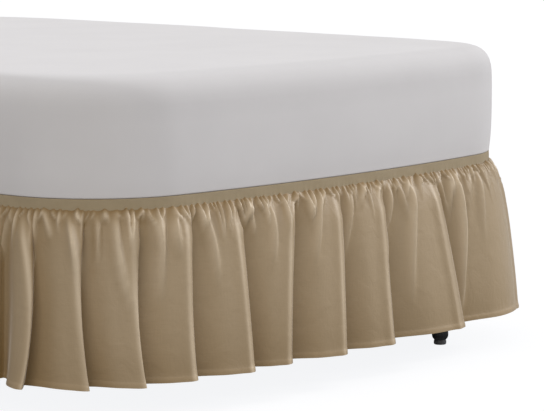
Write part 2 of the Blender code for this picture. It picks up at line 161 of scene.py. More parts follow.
# Gathers: the small pleats that the stitching draws up under the band.
Spot = namedtuple("Spot", "place depth height width")
GATHER_MARGIN_MM = 4  # their places begin this far from the ruffle's end, and the outermost are flat
GATHER_GAPS_MM = (9, 24)
GATHER_WIDTHS = (0.16, 0.27)  # half a pleat, as a share of the gap round it
GATHER_DEPTHS_MM = (16, 75)
GATHER_DEPTH_POWER = 2.4  # over 1, most of them are shallow
GATHER_HEIGHTS_MM = (2.4, 8.4)
GATHER_GAIN = 0.04  # a deeper pleat is higher by this share of its depth
GATHER_STEEPNESS = 2.3  # but at most this many times half its width
GATHER_MERGE = 0.85  # how far a pleat runs towards the deeper one beside it
GATHER_RISE_MM = 5  # a pleat rises from nothing over this depth
GATHER_RISE_POWER = 1.5
SEAM_LIFT_MM = 0.8  # the gathered edge laps over the band,
SEAM_LIFT_SHARE = 0.5  # and by this much of a pleat's height more at the pleat,
SEAM_LIFT_FADE_MM = 6  # within this depth
HEM_KICK_MM = 1.4  # the stiff hem stands out a little,
HEM_KICK_START_MM, HEM_KICK_RISE_MM = 3, 8  # from this far above it, over this depth

# The grid of the ruffle's cloth: rows by depth, columns twice as close near the band.
COLUMN_MM = 4.0
FINE_DEPTH_MM = 76
ROW_DEPTHS_MM = (
    0, 2.5, 5.5, 9, 13, 18, 24.5, 33, 44, 58, 76, 96, 118, 144, 172, 202, 232, 262, 290, 312,
    328, 337, 341.5, 344.2, 346.5, 351, HEM_MM,
)


# ---- the bed's outline ----
def circle_meeting(centre_a, radius_a, centre_b, radius_b):
    """Where two circles cross, on the +X, -Y side."""
    line = centre_b - centre_a
    gap = line.length
    along = (gap ** 2 + radius_a ** 2 - radius_b ** 2) / (2 * gap)
    across = math.sqrt(radius_a ** 2 - along ** 2)
    unit = line / gap
    return centre_a + unit * along + Vector((unit.y, -unit.x)) * -across


END_CENTRE = Vector((0.0, END_BOW_RADIUS - HALF_LENGTH))
SIDE_CENTRE = Vector((HALF_WIDTH - SIDE_BOW_RADIUS, 0.0))
CORNER_CENTRE = circle_meeting(
    END_CENTRE, END_BOW_RADIUS - CORNER_RADIUS, SIDE_CENTRE, SIDE_BOW_RADIUS - CORNER_RADIUS
)
END_ANGLE = math.asin(CORNER_CENTRE.x / (END_BOW_RADIUS - CORNER_RADIUS))
SIDE_ANGLE = math.asin(-CORNER_CENTRE.y / (SIDE_BOW_RADIUS - CORNER_RADIUS))
CORNER_START = END_ANGLE * END_BOW_RADIUS
CORNER_END = CORNER_START + (math.pi / 2 - END_ANGLE - SIDE_ANGLE) * CORNER_RADIUS
HALF_SIDE = SIDE_ANGLE * SIDE_BOW_RADIUS
HALF_LOOP = 2 * (CORNER_END + HALF_SIDE)
# The foot end's bow, the corner and the side's bow: centre, radius, and a place with the angle there.
ARCS = np.array((
    (*END_CENTRE, END_BOW_RADIUS, 0, -math.pi / 2),
    (*CORNER_CENTRE, CORNER_RADIUS, CORNER_START, END_ANGLE - math.pi / 2),
    (*SIDE_CENTRE, SIDE_BOW_RADIUS, CORNER_END + HALF_SIDE, 0),
))


def outline(place, out):
    """Plan points at places along the band, in metres from the foot's middle, standing out from it."""
    along = np.abs(place)
    behind = along > HALF_LOOP / 2
    along = np.where(behind, HALF_LOOP - along, along)
    arc = np.where(along < CORNER_START, 0, np.where(along < CORNER_END, 1, 2))
    centre_x, centre_y, radius, start, angle = ARCS[arc].T
    angle = angle + (along - start) / radius
    x = centre_x + (radius + out) * np.cos(angle)
    y = centre_y + (radius + out) * np.sin(angle)
    return np.where(place < 0, -x, x) + BED_MIDDLE.x, np.where(behind, -y, y) + BED_MIDDLE.y


# ---- the ruffle's folds ----
def side_folds(first, direction, seed):
    """Folds from the last one of the foot end to the ruffle's end, a little out of step."""
    rng = random.Random(seed)
    room = SKIRT_END_MM - abs(first)
    count = round(room / FOLD_PITCH_MM)
    folds = []
    for i in range(1, count + 1):
        last = i == count
        jitter = 0 if last else rng.uniform(-FOLD_JITTER, FOLD_JITTER)
        lean = 0 if last else rng.uniform(-FOLD_LEAN_MM, FOLD_LEAN_MM)
        peak = END_PEAK_MM if last else rng.uniform(*FOLD_PEAKS_MM)
        trough = rng.uniform(*FOLD_TROUGHS_MM)
        place = direction * (abs(first) + room * (i + jitter) / count)
        middle = place + FOLD_LEAN_SHARE * lean
        folds.append(Fold(place, middle, place + lean, peak, trough, FOLD_TURN_MM, SIDE_RISE))
    return folds


def side_arms(folds, seed):
    """A long arm that runs into each fold of the sides, and a short one beside it that dies out."""
    rng = random.Random(seed)
    arms = []
    for fold in folds:
        side = rng.choice((-1, 1))
        for arm, way in (LONG_ARM, side), (SHORT_ARM, -side):
            start = fold.band + way * rng.uniform(*arm.reach)
            end = fold.middle if arm is LONG_ARM else start
            depth = rng.uniform(*arm.depth)
            height = rng.uniform(*arm.height)
            arms.append(Arm(start, (start + end) / 2, end, depth, height, ARM_HALF_WIDTH_MM))
    return arms


def gathers(seed):
    """Small pleats all along the band: most die out at once, and run towards a deeper one beside them."""
    rng = random.Random(seed)
    shallow, deep = GATHER_DEPTHS_MM
    spots = []
    last = SKIRT_END_MM - GATHER_MARGIN_MM
    place = -last
    while place < last:
        depth = shallow + (deep - shallow) * rng.random() ** GATHER_DEPTH_POWER
        spots.append(Spot(place, depth, rng.uniform(*GATHER_HEIGHTS_MM), rng.uniform(*GATHER_WIDTHS)))
        place += rng.uniform(*GATHER_GAPS_MM)
    pleats = []
    for before, (place, depth, height, width), after in zip(spots, spots[1:], spots[2:]):
        deeper = before if before.depth > after.depth else after
        end = place + (GATHER_MERGE * (deeper.place - place) if deeper.depth > depth else 0)
        width *= (after.place - before.place) / 2
        height = min(height + GATHER_GAIN * depth, GATHER_STEEPNESS * width)
        pleats.append(Arm(place, (2 * place + end) / 3, end, depth, height, width))
    return pleats


LEFT_FOLDS = side_folds(FOOT_FOLDS[0].hem, -1, seed=3)
RIGHT_FOLDS = side_folds(FOOT_FOLDS[-1].hem, 1, seed=8)
FOLDS = tuple(reversed(LEFT_FOLDS)) + FOOT_FOLDS + tuple(RIGHT_FOLDS)
ARMS = FOOT_ARMS + tuple(side_arms(LEFT_FOLDS, seed=5)) + tuple(side_arms(RIGHT_FOLDS, seed=6))
GATHERS = tuple(gathers(seed=12))
PUCKERS = FOOT_PUCKERS + GATHERS


def smooth_table(rows, field, at):
    """A table's column as a smooth curve of its depth."""
    x = np.array([row.depth for row in rows], dtype=float)
    y = np.array([getattr(row, field) for row in rows], dtype=float)
    slope = np.gradient(y, x)
    i = np.clip(np.searchsorted(x, at) - 1, 0, len(x) - 2)
    width = x[i + 1] - x[i]
    t = np.clip((at - x[i]) / width, 0.0, 1.0)
    rise = (1 + 2 * t) * (1 - t) ** 2 * y[i] + t * t * (3 - 2 * t) * y[i + 1]
    return rise + width * t * (1 - t) * ((1 - t) * slope[i] - t * slope[i + 1])


def fold_line_columns():
    """Ridge, trough, ridge ... along the ruffle: places at band, middle and hem, and hem scale."""
    places, scales = [], []
    for fold, following in zip(FOLDS, FOLDS[1:] + FOLDS[-1:]):
        places.append((fold.band, fold.middle, fold.hem))
        scales.append(fold.peak / FLARES[-1].ridge)
        turn = min(BAND_TURN_MM, BAND_TURN_SHARE * (following.band - fold.band))
        middle = fold.middle + (turn + 5 * fold.turn) / 6  # nearly as at the hem
        places.append((fold.band + turn, middle, fold.hem + fold.turn))
        scales.append(fold.trough / FLARES[-1].trough)
    return np.array(places[:-1], dtype=float), np.array(scales[:-1])  # no trough after the last ridge


LINE_PLACES, LINE_SCALES = fold_line_columns()
LINE_RISES = np.array([FOLDS[min(i // 2 + 1, len(FOLDS) - 1)].rise for i in range(len(LINE_SCALES))])


def line_at(index, depth):
    """Place and stand-out of fold lines at depths."""
    x = depth / HEM_MM
    band, middle, hem = LINE_PLACES[index].T
    place = band * (1 - x) * (1 - 2 * x) + middle * 4 * x * (1 - x) + hem * x * (2 * x - 1)
    ridge = smooth_table(FLARES, "ridge", depth)
    trough = smooth_table(FLARES, "trough", depth)
    out = np.where(index % 2 == 0, ridge, trough)
    return place, out * (1 + (LINE_SCALES[index] - 1) * x)


def main_folds(along, depth):
    """Place, stand-out and painted light of the main folds, for places at the band and depths: painted
    highlight past each ridge, painted shade in the hollows and towards the hem.
    """
    starts = LINE_PLACES[:, 0]
    index = np.clip(np.searchsorted(starts, along, side="right") - 1, 0, len(starts) - 2)
    part = np.clip((along - starts[index]) / (starts[index + 1] - starts[index]), 0.0, 1.0)
    start, start_out = line_at(index, depth)
    end, end_out = line_at(index + 1, depth)
    rising = index % 2 == 1
    share = np.where(rising, 1 - (1 - part) ** RIDGE_CROWD, part)
    place = start + (end - start) * share
    root = np.minimum(1.0, depth / CREST_ROOT_MM)
    place += np.where(rising, 0, CREST_ROUND_MM) * root * np.sin(math.pi * part)
    ease = 0.5 - 0.5 * np.cos(math.pi * share ** np.where(rising, LINE_RISES[index], DROP_BIAS))
    swell = np.where(rising, SHOULDER, 0) * np.minimum(1.0, depth / SHOULDER_ROOT_MM)
    ease = ease + swell * np.exp(-((share - SHOULDER_PLACE) / SHOULDER_WIDTH) ** 2)
    past = place - np.where(rising, end, start)
    crest = CREST_MM * root * np.exp(-(past / CREST_WIDTH_MM) ** 2)
    # painted light: a painted highlight just past each ridge, wavering down the fold, and painted shade in
    # each hollow and towards the hem
    light_paint = np.exp(-((past - PAINTED_CREST_HIGHLIGHT_PAST_MM) / PAINTED_CREST_HIGHLIGHT_MM) ** 2)
    light_paint *= 1 - PAINTED_HIGHLIGHT_WAVER + PAINTED_HIGHLIGHT_WAVER * np.sin(depth / PAINTED_HIGHLIGHT_WAVER_MM + PAINTED_HIGHLIGHT_WAVER_STEP * (index + rising))
    shade_reach = PAINTED_HOLLOW_SHADE_MM * (1 + depth / HEM_MM)
    light_paint -= np.where(rising, PAINTED_HOLLOW_SHADE * np.exp(-((place - start) / shade_reach) ** 2), share ** 2)
    light_paint -= PAINTED_HEM_SHADE * (depth / HEM_MM) ** 4
    return place, start_out + (end_out - start_out) * ease + crest, light_paint * root


def small_folds(arms, place, depth, root, power):
    """What small folds add to the stand-out: each one steeper on its right."""
    added = np.zeros_like(place)
    for arm in arms:
        reach = FADED * arm.width + max(abs(arm.end - arm.band), abs(arm.middle - arm.band))
        near = (np.abs(place - arm.band) < reach) & (depth < arm.depth)
        run = depth[near] / arm.depth
        centre = arm.band * (1 - run) * (1 - 2 * run) + arm.middle * 4 * run * (1 - run)
        centre += arm.end * run * (2 * run - 1)
        wave = np.sin(math.pi * (ARM_START + (1 - ARM_START) * run))
        rise = np.minimum(1.0, depth[near] / root) * wave
        off = (place[near] - centre) / arm.width + ARM_EDGE
        added[near] += arm.height * rise * np.exp(-np.abs(off) ** np.where(off < 0, power, ARM_DROP_POWER))
    return added


def hang(along, depth):
    """Where the cloth hangs, for places at the band and depths under it in mm: an array of points."""
    place, out, _ = main_folds(along, depth)
    out = out + small_folds(ARMS, place, depth, ARM_ROOT_MM, ARM_RISE_POWER)
    out = out + small_folds(PUCKERS, place, depth, GATHER_RISE_MM, GATHER_RISE_POWER)
    below = depth - HEM_MM + HEM_DEPTH_MM + HEM_KICK_START_MM
    out = out + HEM_KICK_MM * np.clip(below / HEM_KICK_RISE_MM, 0, 1)
    risen = np.maximum(depth, GATHER_RISE_MM)
    crest = small_folds(PUCKERS, place, risen, GATHER_RISE_MM, GATHER_RISE_POWER)
    lift = (SEAM_LIFT_MM + SEAM_LIFT_SHARE * crest) * np.exp(-depth / SEAM_LIFT_FADE_MM)
    x, y = outline(place / 1000, out / 1000)
    return np.stack([x, y, RUFFLE_HIGH.z + (lift - depth) / 1000], axis=1)


def paint_fold_light(along, depth):
    """Painted light for the cloth's colour: 1 is full painted highlight on a crest, -1 full painted shade in
    a hollow.
    """
    place, _, light_paint = main_folds(along, depth)
    # small folds and pleats get painted highlights, and the gaps between the gathers near the band painted
    # shade
    light_paint += small_folds(ARMS, place, depth, ARM_ROOT_MM, ARM_RISE_POWER) / PAINTED_ARM_HIGHLIGHT_MM
    pleats = small_folds(PUCKERS, place, depth, GATHER_RISE_MM, GATHER_RISE_POWER) / PAINTED_PLEAT_HIGHLIGHT_MM
    light_paint += pleats * np.minimum(1, PAINTED_PLEAT_HIGHLIGHT_START + depth / PAINTED_PLEAT_HIGHLIGHT_ROOT_MM)
    light_paint -= PAINTED_GATHER_SHADE * np.exp(-depth / PAINTED_GATHER_SHADE_FADE_MM)
    return np.clip(light_paint, -1, 1)


# ---- objects and meshes ----
def new_object(name, data):
    made = bpy.data.objects.new(name, data)
    bpy.context.scene.collection.objects.link(made)
    return made


def deselect():
    for item in bpy.context.selected_objects:
        item.select_set(False)


def pick(piece):
    """Makes a piece the active object and the only selected one."""
    deselect()
    piece.select_set(True)
    bpy.context.view_layer.objects.active = piece


def vertex_array(piece):
    points = np.empty(3 * len(piece.data.vertices))
    piece.data.vertices.foreach_get("co", points)
    return points.reshape(-1, 3)


def place_vertices(piece, points):
    piece.data.vertices.foreach_set("co", points.ravel())
    piece.data.update()


def flat_grid(name, width, columns, rows):
    """Flat cloth as a grid: x along it in mm, y its depth in mm downwards, with a row at each depth."""
    deselect()
    bpy.ops.mesh.primitive_grid_add(x_subdivisions=columns, y_subdivisions=len(rows) - 1, size=2)
    piece = bpy.context.active_object
    piece.name = piece.data.name = name
    points = vertex_array(piece)
    row = np.rint((1 - points[:, 1]) / 2 * (len(rows) - 1)).astype(int)
    points[:, 0] *= width / 2
    points[:, 1] = -np.array(rows)[row]
    place_vertices(piece, points)
    return piece


def set_uv(piece, u, v):
    """Gives each corner of a mesh the cloth's own place on its vertex, in metres."""
    layer = piece.data.uv_layers.active or piece.data.uv_layers.new(name="cloth")
    corners = np.empty(len(piece.data.loops), dtype=int)
    piece.data.loops.foreach_get("vertex_index", corners)
    layer.data.foreach_set("uv", np.stack([u[corners], v[corners]], axis=1).ravel())


def mark(piece, name, values):
    """Gives a mesh a named value on each vertex, for its material to read."""
    piece.data.attributes.new(name, "FLOAT", "POINT").data.foreach_set("value", values)


def smooth(piece, degrees):
    pick(piece)
    bpy.ops.object.shade_smooth_by_angle(angle=math.radians(degrees))


def thicken(piece, thickness, offset, group="", plain=0.0):
    """Gives flat cloth its thickness; outside the named vertex group it is a share of that."""
    wall = piece.modifiers.new("thickness", "SOLIDIFY")
    wall.thickness, wall.offset = thickness, offset
    wall.vertex_group, wall.thickness_vertex_group = group, plain
    pick(piece)
    bpy.ops.object.modifier_apply(modifier=wall.name)


# ---- the ruffle ----
def hem_weight(along, depth):
    """How much of a hem's doubled cloth is under a point, from 0 to 1, pinched where it is stitched."""
    rise = np.interp(depth, (336, 341.5, HEM_SEAM_MM, 346.5, 354, HEM_MM), (0, 0.9, 0.35, 1, 1, 0.8))
    edge = np.interp(SKIRT_END_MM - np.abs(along), END_HEM_MM, (1, 0))
    return np.maximum(rise, edge)


def make_ruffle():
    """The gathered cloth: a flat strip with hemmed edges, hung in its folds and given its thickness."""
    width = 2 * SKIRT_END_MM
    cloth = flat_grid("ruffle_cloth", width, round(width / COLUMN_MM), ROW_DEPTHS_MM)
    points = vertex_array(cloth)
    set_uv(cloth, points[:, 0] * FULLNESS / 1000, points[:, 1] / 1000)
    mesh = bmesh.new()
    mesh.from_mesh(cloth.data)
    level = [
        edge for edge in mesh.edges
        if abs(edge.verts[0].co.y - edge.verts[1].co.y) < 0.01 and edge.verts[0].co.y > -FINE_DEPTH_MM - 1
    ]
    bmesh.ops.subdivide_edges(mesh, edges=level, cuts=1)
    mesh.to_mesh(cloth.data)
    mesh.free()
    points = vertex_array(cloth)
    along, depth = points[:, 0].copy(), -points[:, 1]
    place_vertices(cloth, hang(along, depth))
    # painted highlights and painted shade of the folds, for the cloth's colour
    mark(cloth, "fold_light_paint", paint_fold_light(along, depth))
    hems = cloth.vertex_groups.new(name="hems")
    for i, weight in enumerate(hem_weight(along, depth)):
        if weight > 0:
            hems.add([i], float(weight), "REPLACE")
    thicken(cloth, CLOTH_THICKNESS, 0, "hems", PLAIN_SHARE)
    smooth(cloth, 75)
    return cloth


# ---- the elastic band ----
BAND_COLUMNS = 2160
BAND_ROWS_MM = (0, 1.0, 2.6, 4.4, 7, 10, 13.5, 17, 20.5, 23, 24.6, BAND_MM)
BAND_THICKNESS = 0.0012
SEAM_MM = 5.2  # the seam stitch's height above the band's lower edge
SEAM_PINCH_MM, SEAM_PINCH_WIDTH_MM = 0.28, 1.1
SWELL_SHARE = 0.15  # of a pleat's height, which the band takes up over it,
SWELL_WIDTH_MM, SWELL_FADE_MM = 3.6, 9  # this wide, fading over this height
EDGE_TURN_MM, EDGE_TURN_FADE_MM = 0.5, 0.7
WANDER_MM = 0.35  # the band isn't quite even along its length,
WANDER_LONG_MM, WANDER_SHORT_MM, WANDER_UP_MM = 61, 23, 9  # in waves this long for a radian
BAND_OUT_MM = 0.1  # how far its face stands out from the bed's outline


def band_relief(place, height):
    """How far the band stands out at a height over its lower edge, mm: puckers over the gathers."""
    added = np.zeros_like(place)
    for pleat in GATHERS:
        off = place - pleat.band
        near = np.abs(off) < FADED * SWELL_WIDTH_MM
        swell = SWELL_SHARE * pleat.height * np.exp(-height[near] / SWELL_FADE_MM)
        added[near] += swell * np.exp(-(off[near] / SWELL_WIDTH_MM) ** 2)
    pinch = SEAM_PINCH_MM * np.exp(-((height - SEAM_MM) / SEAM_PINCH_WIDTH_MM) ** 2)
    lower, upper = np.exp(-height / EDGE_TURN_FADE_MM), np.exp(-(BAND_MM - height) / EDGE_TURN_FADE_MM)
    wander = np.sin(place / WANDER_LONG_MM) * np.sin(place / WANDER_SHORT_MM + height / WANDER_UP_MM)
    return added - pinch - EDGE_TURN_MM * (lower + upper) + WANDER_MM * wander


def band_points(place, height):
    x, y = outline(place / 1000, (BAND_OUT_MM + band_relief(place, height)) / 1000)
    return np.stack([x, y, BAND_LOW.z + height / 1000], axis=1)


def make_band():
    """The elastic all round the box spring: one closed loop."""
    rows = tuple(BAND_MM - height for height in reversed(BAND_ROWS_MM))
    band = flat_grid("elastic_waistband", 2000 * HALF_LOOP, BAND_COLUMNS, rows)
    points = vertex_array(band)
    along, height = points[:, 0].copy(), BAND_MM + points[:, 1]
    set_uv(band, along / 1000, height / 1000)
    place_vertices(band, band_points(along, height))
    mesh = bmesh.new()
    mesh.from_mesh(band.data)
    bmesh.ops.remove_doubles(mesh, verts=mesh.verts, dist=0.00002)
    mesh.to_mesh(band.data)
    mesh.free()
    thicken(band, BAND_THICKNESS, -1)
    smooth(band, 60)
    return band


# ---- stitches ----
def stitch_template():
    """One thread stitch, 1 unit long in x, its middle at the origin."""
    deselect()
    bpy.ops.mesh.primitive_uv_sphere_add(segments=6, ring_count=4, radius=0.5)
    stitch = bpy.context.active_object
    mesh = stitch.data
    corners = vertex_array(stitch)[:, [2, 0, 1]]
    faces = [tuple(face.vertices) for face in mesh.polygons]
    bpy.data.objects.remove(stitch)
    bpy.data.meshes.remove(mesh)
    return corners, faces


def stitch_row(name, starts, ends, outward):
    """A row of stitches from starts to ends, lying on a surface whose outward directions are given."""
    corners, faces = stitch_template()
    run = ends - starts
    length = np.linalg.norm(run, axis=1, keepdims=True)
    run = run / length
    side = np.cross(outward, run)
    side /= np.linalg.norm(side, axis=1, keepdims=True)
    outward = np.cross(run, side)
    middle = (starts + ends) / 2
    shape = corners[None, :, :]
    points = (
        middle[:, None, :]
        + run[:, None, :] * shape[:, :, :1] * length[:, None, :]
        + side[:, None, :] * shape[:, :, 1:2] * STITCH_WIDTH
        + outward[:, None, :] * shape[:, :, 2:3] * STITCH_HEIGHT
    )
    count = len(corners)
    all_faces = [tuple(i * count + k for k in face) for i in range(len(starts)) for face in faces]
    mesh = bpy.data.meshes.new(name)
    mesh.from_pydata(points.reshape(-1, 3).tolist(), [], all_faces)
    row = new_object(name, mesh)
    smooth(row, 80)
    return row


def surface_stitches(name, surface, reach, lift):
    """Stitches of one length along a curve that surface(places, drop) gives, each lying on its cloth."""
    fine = np.arange(-reach, reach, 1.0)
    curve = surface(fine, 0.0)
    length = np.concatenate([[0], np.cumsum(np.linalg.norm(np.diff(curve, axis=0), axis=1))])
    marks = np.interp(np.arange(0, length[-1], STITCH_MM / 1000), length, fine)
    gap = STITCH_GAP * STITCH_MM
    starts = surface(marks[:-1] + gap, 0.0)
    ends = surface(marks[1:] - gap, 0.0)
    middle = (marks[:-1] + marks[1:]) / 2
    across = surface(middle + 1.5, 0.0) - surface(middle - 1.5, 0.0)
    down = surface(middle, 1.5) - surface(middle, -1.5)
    outward = np.cross(down, across)
    outward /= np.linalg.norm(outward, axis=1, keepdims=True)
    shift = outward * lift / 1000
    return stitch_row(name, starts + shift, ends + shift, outward)


# ---- the mattress and the box spring ----
# A height over the underside, and how far the form stands out from the bed's outline there, mm.
Section = namedtuple("Section", "height out")
MATTRESS_SECTIONS = tuple(Section(*row) for row in (
    (0, -30), (0, -16), (0, -7), (0, -2), (0.3, 0), (1.4, 0.8), (3.6, 1.1), (7, 1.4), (14, 2.2), (24, 3.2),
    (38, 4.2), (56, 5.0), (76, 5.6), (100, 6.1), (126, 6.3), (150, 6.3), (172, 5.9), (190, 5.0), (204, 3.2),
    (216, 0.0), (226, -4.5), (234, -10.5), (241, -18.5), (246, -28), (249.3, -39), (251, -52), (251.8, -68),
    (252, -90), (252, -118), (252, -150), (252, -185),
))
MATTRESS_STEP_MM, SPRING_STEP_MM = 13, 16  # between the points of a section
ROLL_SHADE_HEIGHTS_MM = (155, 235)  # up the side, the painted shade on the rolled edge begins and is full
ROLL_SHADE_INWARD_MM = (15, 85)  # on the top, the painted shade begins to fade and is gone
BOX_SPRING_SECTIONS = tuple(Section(*row) for row in (
    (2.5, -60), (1.5, -44), (0.3, -30), (0, -22), (0, -15), (0.8, -8), (2.0, -5.0), (3.0, -3.6),
    (4.5, -2.2), (7, -1.6), (9.5, -2.4), (11, -4.0), (14, -4.4), (30, -3.9), (70, -3.4), (114, -3.2),
    (160, -3.4), (198, -3.9), (215, -4.4), (218, -4.0), (219.5, -2.4), (222, -1.6), (224.5, -2.2),
    (226, -3.6), (227.2, -6.0), (228.3, -9), (229, -16), (229, -30), (229, -60), (229, -110),
))


def loop_places(step_mm):
    """Places all round the loop, in metres, about a step apart: as many on each side of each axis."""
    count = 4 * round(2000 * HALF_LOOP / step_mm / 4)
    return -HALF_LOOP + 2 * HALF_LOOP * np.arange(count) / count


def fill_cap(bm, ring, corner, upward):
    """Closes a ring with a grid whose corners lie in the bed's rounded corners."""
    count = len(ring)
    first, second = count // 2 - corner, count // 2 + corner
    wide, long = 2 * corner, count // 2 - 2 * corner
    bottom = [ring[(first + i) % count] for i in range(wide + 1)]
    right = [ring[(second + j) % count] for j in range(long + 1)]
    top = [ring[(second + long + wide - i) % count] for i in range(wide + 1)]
    left = [ring[(first - j) % count] for j in range(long + 1)]
    rows = [bottom]
    for j in range(1, long):
        v = j / long
        row = [left[j]]
        for i in range(1, wide):
            u = i / wide
            point = (
                bottom[i].co * (1 - v) + top[i].co * v + left[j].co * (1 - u) + right[j].co * u
                - bottom[0].co * (1 - u) * (1 - v) - bottom[-1].co * u * (1 - v)
                - top[0].co * (1 - u) * v - top[-1].co * u * v
            )
            row.append(bm.verts.new(point))
        rows.append(row + [right[j]])
    rows.append(top)
    for lower, upper in zip(rows, rows[1:]):
        for i in range(wide):
            corners = (lower[i], lower[i + 1], upper[i + 1], upper[i])
            bm.faces.new(corners if upward else tuple(reversed(corners)))


def padded_block(name, sections, base, step_mm):
    """A closed padded form lofted through outlines of the bed, its top and underside filled with grids."""
    places = loop_places(step_mm)
    corner = round((CORNER_START + CORNER_END) / 2 / (2 * HALF_LOOP) * len(places))
    bm = bmesh.new()
    rings = []
    for section in sections:
        height = np.full_like(places, base + section.height / 1000)
        x, y = outline(places, np.full_like(places, section.out / 1000))
        rings.append([bm.verts.new(point) for point in zip(x, y, height)])
    for lower, upper in zip(rings, rings[1:]):
        for i, vertex in enumerate(lower):
            j = (i + 1) % len(lower)
            bm.faces.new((vertex, lower[j], upper[j], upper[i]))
    fill_cap(bm, rings[0], corner, upward=False)
    fill_cap(bm, rings[-1], corner, upward=True)
    mesh = bpy.data.meshes.new(name)
    bm.to_mesh(mesh)
    bm.free()
    return new_object(name, mesh)


def mark_roll_shade(block, sections, step_mm):
    """Marks painted shade on a cover: 1 over the foot end's rolled upper edge, and none elsewhere."""
    height = [section.height for section in sections]
    inward = [-section.out for section in sections]
    roll_shade = np.interp(height, ROLL_SHADE_HEIGHTS_MM, (0, 1)) * np.interp(inward, ROLL_SHADE_INWARD_MM, (1, 0))
    # the painted shade is kept to the foot end, fading round the corners
    pull = np.interp(np.abs(loop_places(step_mm)), (CORNER_START, CORNER_END), (1, 0))
    roll_shaded = np.zeros(len(block.data.vertices))
    roll_shaded[:len(roll_shade) * len(pull)] = np.outer(roll_shade, pull).ravel()
    mark(block, "roll_shade", roll_shaded)


BROAD_WAVES, SMALL_WAVES, SMALL_SHARE = 3.1, 9.0, 0.35  # in a metre, and the small ones' share


def soften(block, low, high, amount_mm):
    """Soft unevenness on a padded form, a third of a metre across, rising from none at the low height."""
    points = vertex_array(block)
    normals = np.empty(points.size)
    block.data.vertices.foreach_get("normal", normals)
    broad = np.array([noise.noise(Vector(point) * BROAD_WAVES) for point in points])
    small = np.array([noise.noise(Vector(point) * SMALL_WAVES + Vector((5, 2, 1))) for point in points])
    fade = np.clip((points[:, 2] - low) / (high - low), 0, 1)
    swell = amount_mm / 1000 * fade * (broad + SMALL_SHARE * small)
    place_vertices(block, points + normals.reshape(-1, 3) * swell[:, None])
    smooth(block, 70)


# ---- the glides ----
# Radius and height above the floor, mm.
GLIDE_PROFILE_MM = (
    (0, 45), (8, 45), (17, 45), (18.3, 44.6), (18.9, 43.6), (19, 42.2), (19, 40), (18.5, 39.5), (18.5, 38.5),
    (19.1, 38), (19.5, 33), (19.8, 28), (19.8, 23), (19.4, 20), (18.6, 17.4), (17.3, 15), (15.6, 13),
    (14.4, 11.8), (14.1, 10.6), (14.5, 9.6), (15.0, 8.4), (15.1, 5), (15.0, 2.4), (14.4, 0.9), (13.2, 0.1),
    (11, 0), (0, 0),
)


def make_glide(name, node):
    """A turned plastic glide on the place of its solid."""
    low, high = (Vector(corner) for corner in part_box(node))
    middle = (low + high) / 2
    deselect()
    bpy.ops.mesh.primitive_plane_add(size=0.002)
    glide = bpy.context.active_object
    glide.name = glide.data.name = name
    bpy.ops.object.mode_set(mode="EDIT")
    bpy.ops.mesh.delete(type="VERT")
    bpy.ops.object.mode_set(mode="OBJECT")
    glide.data.from_pydata(
        [(radius / 1000, 0, height / 1000) for radius, height in GLIDE_PROFILE_MM],
        [(i, i + 1) for i in range(len(GLIDE_PROFILE_MM) - 1)], [],
    )
    bpy.ops.object.mode_set(mode="EDIT")
    bpy.ops.mesh.select_all(action="SELECT")
    bpy.ops.mesh.spin(steps=40, angle=2 * math.pi, center=(0, 0, 0), axis=(0, 0, 1), dupli=False)
    bpy.ops.mesh.select_all(action="SELECT")
    bpy.ops.mesh.remove_doubles(threshold=0.00001)
    bpy.ops.mesh.normals_make_consistent(inside=False)
    bpy.ops.object.mode_set(mode="OBJECT")
    glide.data.transform(Matrix.Translation((middle.x, middle.y, 0)))
    smooth(glide, 35)
    return glide


# ---- materials ----
def linear(colour):
    """Linear RGBA from an sRGB hex value."""
    parts = [int(colour[i:i + 2], 16) / 255 for i in (1, 3, 5)]
    return [c / 12.92 if c <= 0.04045 else ((c + 0.055) / 1.055) ** 2.4 for c in parts] + [1.0]


def add_node(tree, kind, values=None, links=None, **settings):
    """Adds a node with its settings, socket values and incoming links."""
    made = tree.nodes.new("ShaderNode" + kind)
    for name, value in settings.items():
        setattr(made, name, value)
    for socket, value in (values or {}).items():
        made.inputs[socket].default_value = value
    for socket, source in (links or {}).items():
        tree.links.new(source, made.inputs[socket])
    return made


MULTIPLIED = {"data_type": "RGBA", "blend_type": "MULTIPLY"}


def new_material(name, values):
    """An empty material: its tree, and its principled shader with these values, joined to the output."""
    material = bpy.data.materials.new(name)
    material.use_nodes = True
    tree = material.node_tree
    tree.nodes.clear()
    shader = add_node(tree, "BsdfPrincipled", values)
    add_node(tree, "OutputMaterial", links={"Surface": shader.outputs["BSDF"]})
    return material, tree, shader


def join(tree, shader, colour, bump):
    """Joins a colour mix and a bump to the shader."""
    tree.links.new(colour.outputs[2], shader.inputs["Base Color"])
    tree.links.new(bump.outputs["Normal"], shader.inputs["Normal"])


